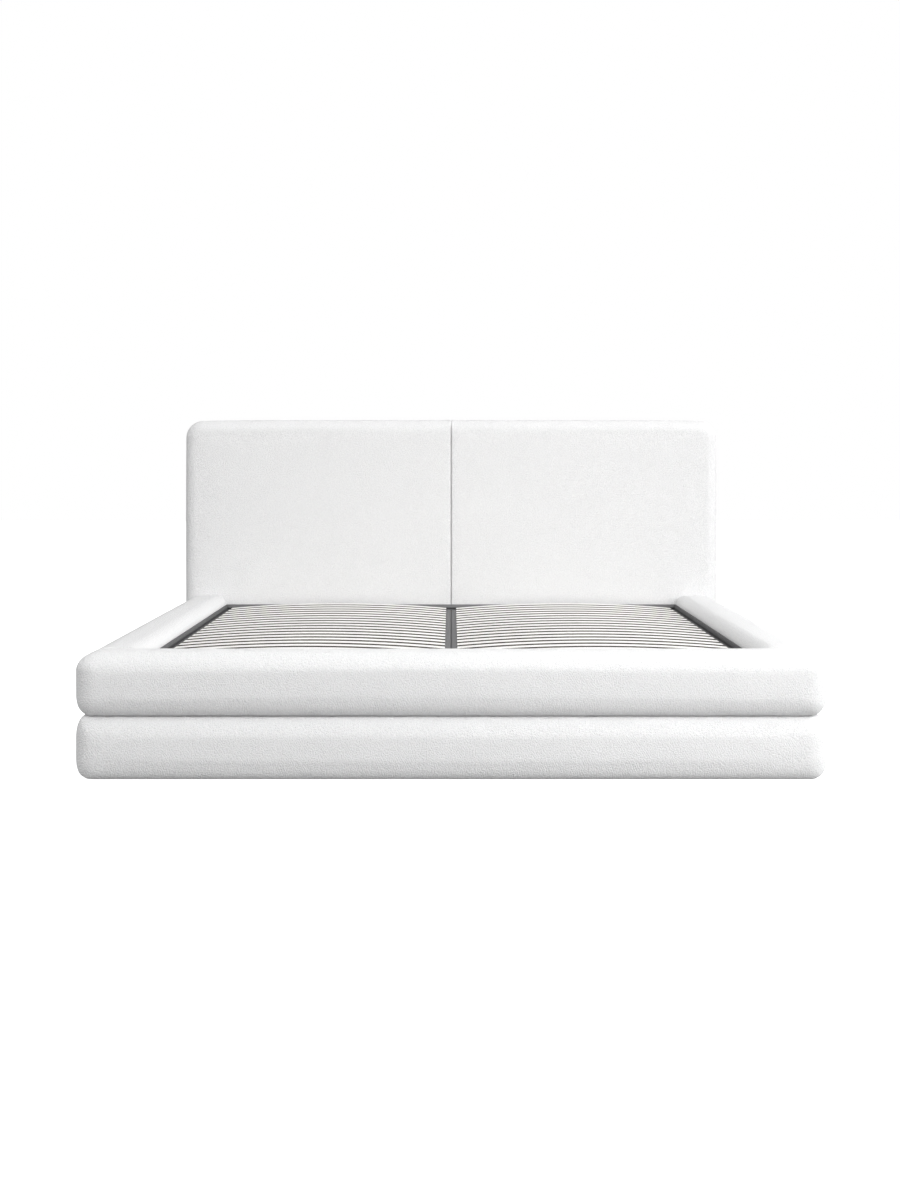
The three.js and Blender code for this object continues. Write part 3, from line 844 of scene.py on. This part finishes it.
def turned(name, profile, centre, materials, closed=True, six_sided=0):
    """A profile of (radius, height) points turned about a vertical axis. It starts and ends on the axis,
    or comes back to its own start. Rings no wider than six_sided have six sides."""
    points, faces, rings = [], [], []
    for radius, height in profile:
        if radius == 0:
            rings.append([len(points)] * TURN_STEPS)
            points.append((centre[0], centre[1], centre[2] + height))
        else:
            rings.append([len(points) + step for step in range(TURN_STEPS)])
            for turn in np.arange(TURN_STEPS) * math.tau / TURN_STEPS:
                reach = radius / math.cos(turn % SIXTH - SIXTH / 2) if radius <= six_sided else radius
                points.append((centre[0] + reach * math.cos(turn), centre[1] + reach * math.sin(turn),
                               centre[2] + height))
    pairs = list(zip(rings, rings[1:])) + ([(rings[-1], rings[0])] if closed else [])
    for one, two in pairs:
        for k in range(TURN_STEPS):
            following = (k + 1) % TURN_STEPS
            faces.append(tuple(dict.fromkeys([one[k], one[following], two[following], two[k]])))
    return make_mesh(name, points, faces, materials)


LEG_RADIUS = 20 * MM
LEG_WALL = 2 * MM
LEG_PLATE_RADIUS = 40 * MM
LEG_PLATE_THICKNESS = 4 * MM
LEG_FOOT_RADIUS = 28 * MM
LEG_FOOT_HEIGHT = 12 * MM
EASE = 1 * MM

for end in ("foot", "head"):
    low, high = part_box(f"centre_leg_{end}")
    centre = ((low.x + high.x) / 2, (low.y + high.y) / 2, 0)
    plate = high.z - LEG_PLATE_THICKNESS
    tube = [(LEG_RADIUS - LEG_WALL, EASE), (LEG_RADIUS, EASE), (LEG_RADIUS, plate - EASE),
            (LEG_RADIUS + EASE, plate), (LEG_PLATE_RADIUS - EASE, plate), (LEG_PLATE_RADIUS, plate + EASE),
            (LEG_PLATE_RADIUS, high.z - EASE), (LEG_PLATE_RADIUS - EASE, high.z), (0, high.z), (0, plate),
            (LEG_RADIUS - LEG_WALL, plate)]
    mesh = turned(f"leg_tube_{end}", tube, centre, [coated_steel])
    add_piece(mesh, "slat_base", [f"centre_leg_{end}"])
    sole = [(LEG_RADIUS + SEAT, LEG_FOOT_HEIGHT), (LEG_RADIUS + SEAT, 0), (LEG_FOOT_RADIUS - EASE, 0),
            (LEG_FOOT_RADIUS, EASE), (LEG_FOOT_RADIUS, LEG_FOOT_HEIGHT - 3 * EASE),
            (LEG_FOOT_RADIUS - 2 * EASE, LEG_FOOT_HEIGHT - EASE), (LEG_RADIUS + 3 * EASE, LEG_FOOT_HEIGHT)]
    mesh = turned(f"leg_sole_{end}", sole, centre, [black_plastic])
    add_piece(mesh, "slat_base")
print("legs stand", round(plate, 3), "m high")

# %% [markdown]
# ## Boards, steel angle and headboard frame
#
# Sanding takes the sharp arris off the boards, and the mill rounds the corners of the slat base's steel
# angle. The CAD shape of both is right, so each is copied, its flat faces are cleaned of triangles, and its
# edges are eased.

# %% Make the boards and the angles
BOARD_ARRIS = 1.5 * MM
ANGLE_ARRIS = 0.9 * MM
FRAME_ARRIS = 5 * MM
FRAME_ARRIS_STEPS = 4
FLAT = math.radians(0.5)
SHARP = math.radians(30)
MERGE = 0.01 * MM


def eased_copy(source, name, arris, materials, steps=2):
    """A copy of a mesh with its sharp edges rounded off."""
    form = bmesh.new()
    form.from_mesh(source)
    bmesh.ops.remove_doubles(form, verts=form.verts, dist=MERGE)
    bmesh.ops.dissolve_limit(form, angle_limit=FLAT, verts=form.verts, edges=form.edges)
    edges = [edge for edge in form.edges if edge.is_manifold and edge.calc_face_angle() > SHARP]
    bmesh.ops.bevel(form, geom=edges, offset=arris, segments=steps, profile=0.5, affect="EDGES",
                    clamp_overlap=True)
    return baked(form, bpy.data.meshes.new(name), materials)


def add_eased(node, end, arris, material, body, steps=2):
    """The piece that stands for a CAD node with its edges eased. end is added to its name."""
    mesh = eased_copy(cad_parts[node].data, f"{node}_{end}", arris, [material], steps)
    add_piece(mesh, body, [node])


boards = {"foot_board": plywood_across_y, "head_crossboard": plywood_across_y,
          "side_board_right": plywood_across_x, "side_board_left": plywood_across_x}
for node, material in boards.items():
    add_eased(node, "ply", BOARD_ARRIS, material, "bedstead")
# The side rails take the darker coat, which is painted shade.
angles = {"frame_rail_right": rail_steel_painted_shade, "frame_rail_left": rail_steel_painted_shade,
          "frame_head_bar": coated_steel, "frame_foot_bar": coated_steel}
for node, material in angles.items():
    add_eased(node, "angle", ANGLE_ARRIS, material, "slat_base")
add_eased("headboard_frame", "cover", FRAME_ARRIS, back_cloth, "bedstead", FRAME_ARRIS_STEPS)
print("boards:", list(boards), "angles:", list(angles))

# %% [markdown]
# ## Dark strips of painted shade in the angles
#
# A dark strip runs along the inside of each angle, just above its ledge: painted shade for the shadowed
# recess at the foot of the upright. One rounded section is carried along it.

# %% Make the strips of painted shade
ANGLE_THICKNESS = 5 * MM
SHADE_STRIP_THICKNESS = 1 * MM
SHADE_STRIP_HEIGHT = 8.2 * MM
SHADE_STRIP_EDGE = 0.3 * MM

rail_low, rail_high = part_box("frame_rail_right")
ledge_top = beam_high.z
shade_strip_x = rail_high.x - ANGLE_THICKNESS
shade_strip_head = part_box("frame_head_bar")[1].y - ANGLE_THICKNESS


def add_shade_strip(name, face, start, finish, lay):
    """A strip on an upright's inner face, from start to finish."""
    low, high = (face - SHADE_STRIP_THICKNESS, ledge_top + SEAT), (face, ledge_top + SHADE_STRIP_HEIGHT)
    mesh = sweep(name, rounded_ring(low, high, SHADE_STRIP_EDGE), start, finish, lay, [painted_shade])
    add_piece(mesh, "slat_base")


# Each strip is a dark piece of painted shade along the foot of an upright.
for side, sign in SIDES.items():
    add_shade_strip(f"rail_shade_strip_{side}", shade_strip_x, rail_low.y + ANGLE_THICKNESS, shade_strip_head, along_y(sign))
shade_strip_end = shade_strip_x - SHADE_STRIP_THICKNESS
add_shade_strip("head_shade_strip", shade_strip_head, -shade_strip_end, shade_strip_end, along_x)
print("rubber strips:", round(SHADE_STRIP_HEIGHT / MM, 1), "mm high")

# %% [markdown]
# ## Weld beads
#
# The beam is welded to the bars, and the bars to the rails. A weld laid by hand has small even ripples, one
# for each pause of the torch. So each bead is a round strand, half sunk in the steel, whose thickness rises
# and falls along it.

# %% Lay the weld beads
BEAD_RADIUS = 2 * MM
BEAD_RIPPLE = 2.4 * MM
BEAD_SIDES = 10
BEAD_STEPS = 4
BEAD_DEPTH = 0.1
BEAD_TIP = 0.5


def weld_bead(name, start, finish):
    """A rippled bead between two points, closed at both ends."""
    start, finish = Vector(start), Vector(finish)
    forward = finish - start
    side = forward.orthogonal().normalized()
    other = forward.normalized().cross(side)
    steps = BEAD_STEPS * max(2, round(forward.length / BEAD_RIPPLE))
    points = []
    for step in range(steps + 1):
        ripple = 1 - BEAD_DEPTH + BEAD_DEPTH * math.cos(step * math.tau / BEAD_STEPS)
        radius = BEAD_RADIUS * ripple * (BEAD_TIP if step in (0, steps) else 1)
        points += [start + forward * step / steps + radius * (side * math.cos(turn) + other * math.sin(turn))
                   for turn in np.arange(BEAD_SIDES) * math.tau / BEAD_SIDES]
    return make_mesh(name, points, ring_faces(BEAD_SIDES, steps + 1, "capped"), [coated_steel])


corner_y = {"head": shade_strip_head, "foot": rail_low.y + ANGLE_THICKNESS}
joint_y = {"head": beam_high.y, "foot": beam_low.y}
for end in joint_y:
    for side, sign in SIDES.items():
        corner_x, low_z = sign * shade_strip_x, ledge_top + SHADE_STRIP_HEIGHT
        beads = {"beam": ((sign * GROOVE, joint_y[end], ledge_top),
                          (sign * (beam_high.x - BEAD_RADIUS), joint_y[end], ledge_top)),
                 "corner": ((corner_x, corner_y[end], low_z + BEAD_RADIUS),
                            (corner_x, corner_y[end], rail_high.z - 2 * BEAD_RADIUS))}
        for joint, ends in beads.items():
            add_piece(weld_bead(f"weld_{joint}_{end}_{side}", *ends), "slat_base")
print("weld beads:", 2 * len(beads) * len(SIDES))

# %% [markdown]
# ## Brackets and bolts
#
# Pressed steel brackets hold the boards together at the inner corners. Each is an L of plate with rounded
# edges and four bolts. A bolt is one turned profile of washer, head and recess, and copies of it, each turned
# to face its own way, are gathered in one mesh.

# %% Make the corner brackets and their bolts
BRACKET_LEG = 62 * MM
BRACKET_PLATE = 3 * MM
BRACKET_ARRIS = 0.8 * MM
BRACKET_LOW = 85 * MM
BRACKET_HIGH = 215 * MM
BOLT_INSET = 36 * MM
BOLT_HEIGHTS = (115 * MM, 185 * MM)
BOLT_RECESS = 3 * MM
BOLT_PROFILE = [(0, 0), (11, 0), (11, 1), (10.4, 1.6), (8, 1.6), (8, 5), (7, 6), (3.6, 6), (3, 5.4), (3, 3),
                (0, 3)]


def copies(name, mesh, places):
    """One mesh of copies. places holds where each goes and which way its axis points."""
    form = bmesh.new()
    for place, facing in places:
        copy = mesh.copy()
        turn = Vector(facing).to_track_quat("Z", "Y").to_matrix().to_4x4()
        copy.transform(Matrix.Translation(place) @ turn)
        form.from_mesh(copy)
    return baked(form, bpy.data.meshes.new(name), mesh.materials)


bolt = turned("bolt", [(radius * MM, height * MM) for radius, height in BOLT_PROFILE], (0, 0, 0), [zinc],
              closed=False, six_sided=BOLT_RECESS)
leg, plate = BRACKET_LEG, BRACKET_PLATE
bracket_outline = [(0, 0), (leg, 0), (leg, plate), (plate, plate), (plate, leg), (0, leg)]
crossboard_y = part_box("head_crossboard")[0].y
for end, board_y, inward in (("foot", well_foot, 1), ("head", crossboard_y, -1)):
    for side, sign in SIDES.items():
        corner = Vector((sign * (well_half_width - SEAT), board_y + inward * SEAT, 0))
        ring = np.array(bracket_outline) * (-sign, inward) + corner[:2]
        mesh = sweep("bracket", ring, BRACKET_LOW, BRACKET_HIGH, upright, [])
        name = f"corner_bracket_{end}_{side}"
        add_piece(eased_copy(mesh, name, BRACKET_ARRIS, [zinc]), "bedstead")
        places = []
        for height in BOLT_HEIGHTS:
            places += [(corner + Vector((-sign * plate, inward * BOLT_INSET, height)), (-sign, 0, 0)),
                       (corner + Vector((-sign * BOLT_INSET, inward * plate, height)), (0, inward, 0))]
        add_piece(copies(name + "_bolts", bolt, places), "bedstead")
print("brackets: 4, bolts:", 4 * len(places))

# %% [markdown]
# ## The back of the headboard
#
# The back is closed with lining, folded in at its edge and stapled down every few centimetres. The fold is a
# band of double thickness, and it dips a little at each staple, where the wire pulls it into the wood.

# %% Make the lining and its staples
LINING_MARGIN = 12 * MM
LINING_THICKNESS = 0.8 * MM
LINING_STEP = 9 * MM
FOLD_WIDTH = 16 * MM
STAPLE_SPACING = 55 * MM
STAPLE_LENGTH = 10 * MM
STAPLE_WIRE = 0.6 * MM
STAPLE_DIP = 0.6 * MM
ARC_STEPS = 12
# From the edge inwards: how many folds in, how many layers up, and how much of the staples' dip.
FOLD_LEVELS = [(0, 0, 0), (0, 1.4, 0.3), (0.1, 2, 1), (0.9, 2, 1), (1, 1, 0), (1.5, 1, 0)]

back_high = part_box("headboard_frame")[1]
half_width, top = back_high.x - LINING_MARGIN, back_high.z - LINING_MARGIN
radius = PAD_CORNER[0] - LINING_MARGIN
arc = np.linspace(0, math.pi / 2, ARC_STEPS + 1)
right_arc = np.column_stack([half_width - radius + radius * np.cos(arc), top - radius + radius * np.sin(arc)])
outline = np.vstack([[(-half_width, LINING_MARGIN), (half_width, LINING_MARGIN)], right_arc,
                     right_arc[::-1] * (-1, 1), [(-half_width, LINING_MARGIN)]])
runs = np.concatenate([[0], np.cumsum(np.linalg.norm(np.diff(outline, axis=0), axis=1))])
steps = round(runs[-1] / LINING_STEP)


def along_outline(places):
    """Points of the outline at places measured along it."""
    return np.column_stack([np.interp(places, runs, outline[:, axis]) for axis in (0, 1)])


places = np.arange(steps) * runs[-1] / steps
staple_count = round(runs[-1] / STAPLE_SPACING)
staples = (np.arange(staple_count) + 0.5) * runs[-1] / staple_count
dip = STAPLE_DIP * np.exp(-(np.abs(places[:, None] - staples).min(axis=1) / (STAPLE_SPACING / 4)) ** 2)
edge = along_outline(places)
middle = np.array([0, (LINING_MARGIN + top) / 2])
outward = edge - middle
rings = []
for share, layers, give in FOLD_LEVELS:
    flat = middle + outward * (1 - share * FOLD_WIDTH / np.abs(outward).max(axis=1, keepdims=True))
    rings.append(np.column_stack([flat[:, 0], back_high.y + SEAT + layers * LINING_THICKNESS - give * dip,
                                  flat[:, 1]]))
faces = ring_faces(steps, len(rings), "capped")
lining = add_piece(make_mesh("back_lining", np.vstack(rings), faces, [back_cloth]), "bedstead")

wire = rounded_ring((-STAPLE_WIRE, -STAPLE_WIRE), (STAPLE_WIRE, STAPLE_WIRE), STAPLE_WIRE / 2)
mesh = sweep("staple", wire, -STAPLE_LENGTH / 2, STAPLE_LENGTH / 2, upright, [zinc])
ends = along_outline(staples + STAPLE_LENGTH / 2), along_outline(staples - STAPLE_LENGTH / 2)
places = []
for ahead, behind in zip(*ends):
    centre, run = (ahead + behind) / 2, ahead - behind
    inward = np.array([-run[1], run[0]]) / np.linalg.norm(run) * FOLD_WIDTH / 2
    places.append(((centre[0] + inward[0], back_high.y + SEAT + 2 * LINING_THICKNESS, centre[1] + inward[1]),
                   (run[0], 0, run[1])))
add_piece(copies("back_staples", mesh, places), "bedstead")
print("lining:", round(2 * half_width, 3), "by", round(top - LINING_MARGIN, 3), "m, staples:", len(places))

# %% [markdown]
# ## The studio
#
# The picture has a plain white ground and soft light. The key light stands in front on the right, and a
# second one beside the bed lights its right side. Wide lights in front, on the left and above, and a broad
# sky, fill the shadows, and a light far to the right brings out the left inner wall. So tops and right sides
# are nearly white, and left sides and undersides go grey. A low light behind the bed shows its back, and
# hardly reaches what the picture shows.

# %% Light the studio
# Where each light stands, its size and its watts.
LIGHTS = {
    "key": ((3.5, -4.5, 2.0), 2.5, 176),
    "key_side": ((4.5, 0.0, 2.0), 2.0, 45),
    "front": ((0.0, -12.0, 6.0), 5.0, 415),
    "right": ((10.0, 1.0, 2.2), 3.0, 280),
    "left": ((-10.0, -6.0, 5.0), 5.0, 270),
    "top": ((0.6, -0.5, 5.0), 5.0, 55),
    "back": ((2.0, 9.0, 1.6), 5.0, 110),
}
LIGHT_TARGET = Vector((0, 0, 0.4))
SKY = 0.59
GROUND_SKY = 0.21
HORIZON_HAZE = (-0.3, 0.5)

for name, (place, size, watts) in LIGHTS.items():
    lamp = bpy.data.lights.new(name, "AREA")
    lamp.size, lamp.energy = size, watts
    light = new_object(name, lamp)
    light.location = place
    light.rotation_euler = (LIGHT_TARGET - Vector(place)).to_track_quat("-Z", "Y").to_euler()
    light.visible_camera = False

world = bpy.data.worlds.new("studio")
bpy.context.scene.world = world
world.use_nodes = True
tree = world.node_tree
background = tree.nodes["Background"]
direction = add_node(tree, "TexCoord", output="Generated")
upward = add_node(tree, "SeparateXYZ", {0: direction}, 2)
glow = add_node(tree, "MapRange", dict(enumerate([upward, *HORIZON_HAZE, GROUND_SKY, SKY])))
seen = add_node(tree, "LightPath", output="Is Camera Ray")
strength = add_node(tree, "Mix", {0: seen, 2: glow, 3: 1.0})
feed(tree, background, {"Color": "#FFFFFF", "Strength": strength})
bpy.context.scene.view_settings.view_transform = "Standard"
print("lights:", list(LIGHTS))

# %% Lay the floor
FLOOR_SIZE = 40.0
FLOOR_GLOW = 0.93

half = FLOOR_SIZE / 2
material = new_material("pale_studio_floor", {
    "Roughness": 0.9, "Base Color": "#F4F4F4", "Emission Color": "#FFFFFF",
    "Emission Strength": FLOOR_GLOW})[0]
corners = [(-half, -half, 0), (half, -half, 0), (half, half, 0), (-half, half, 0)]
floor = new_object("floor", make_mesh("floor", corners, [(0, 1, 2, 3)], [material]))
floor.visible_diffuse = False
floor.visible_glossy = False
print("floor:", FLOOR_SIZE, "m square")
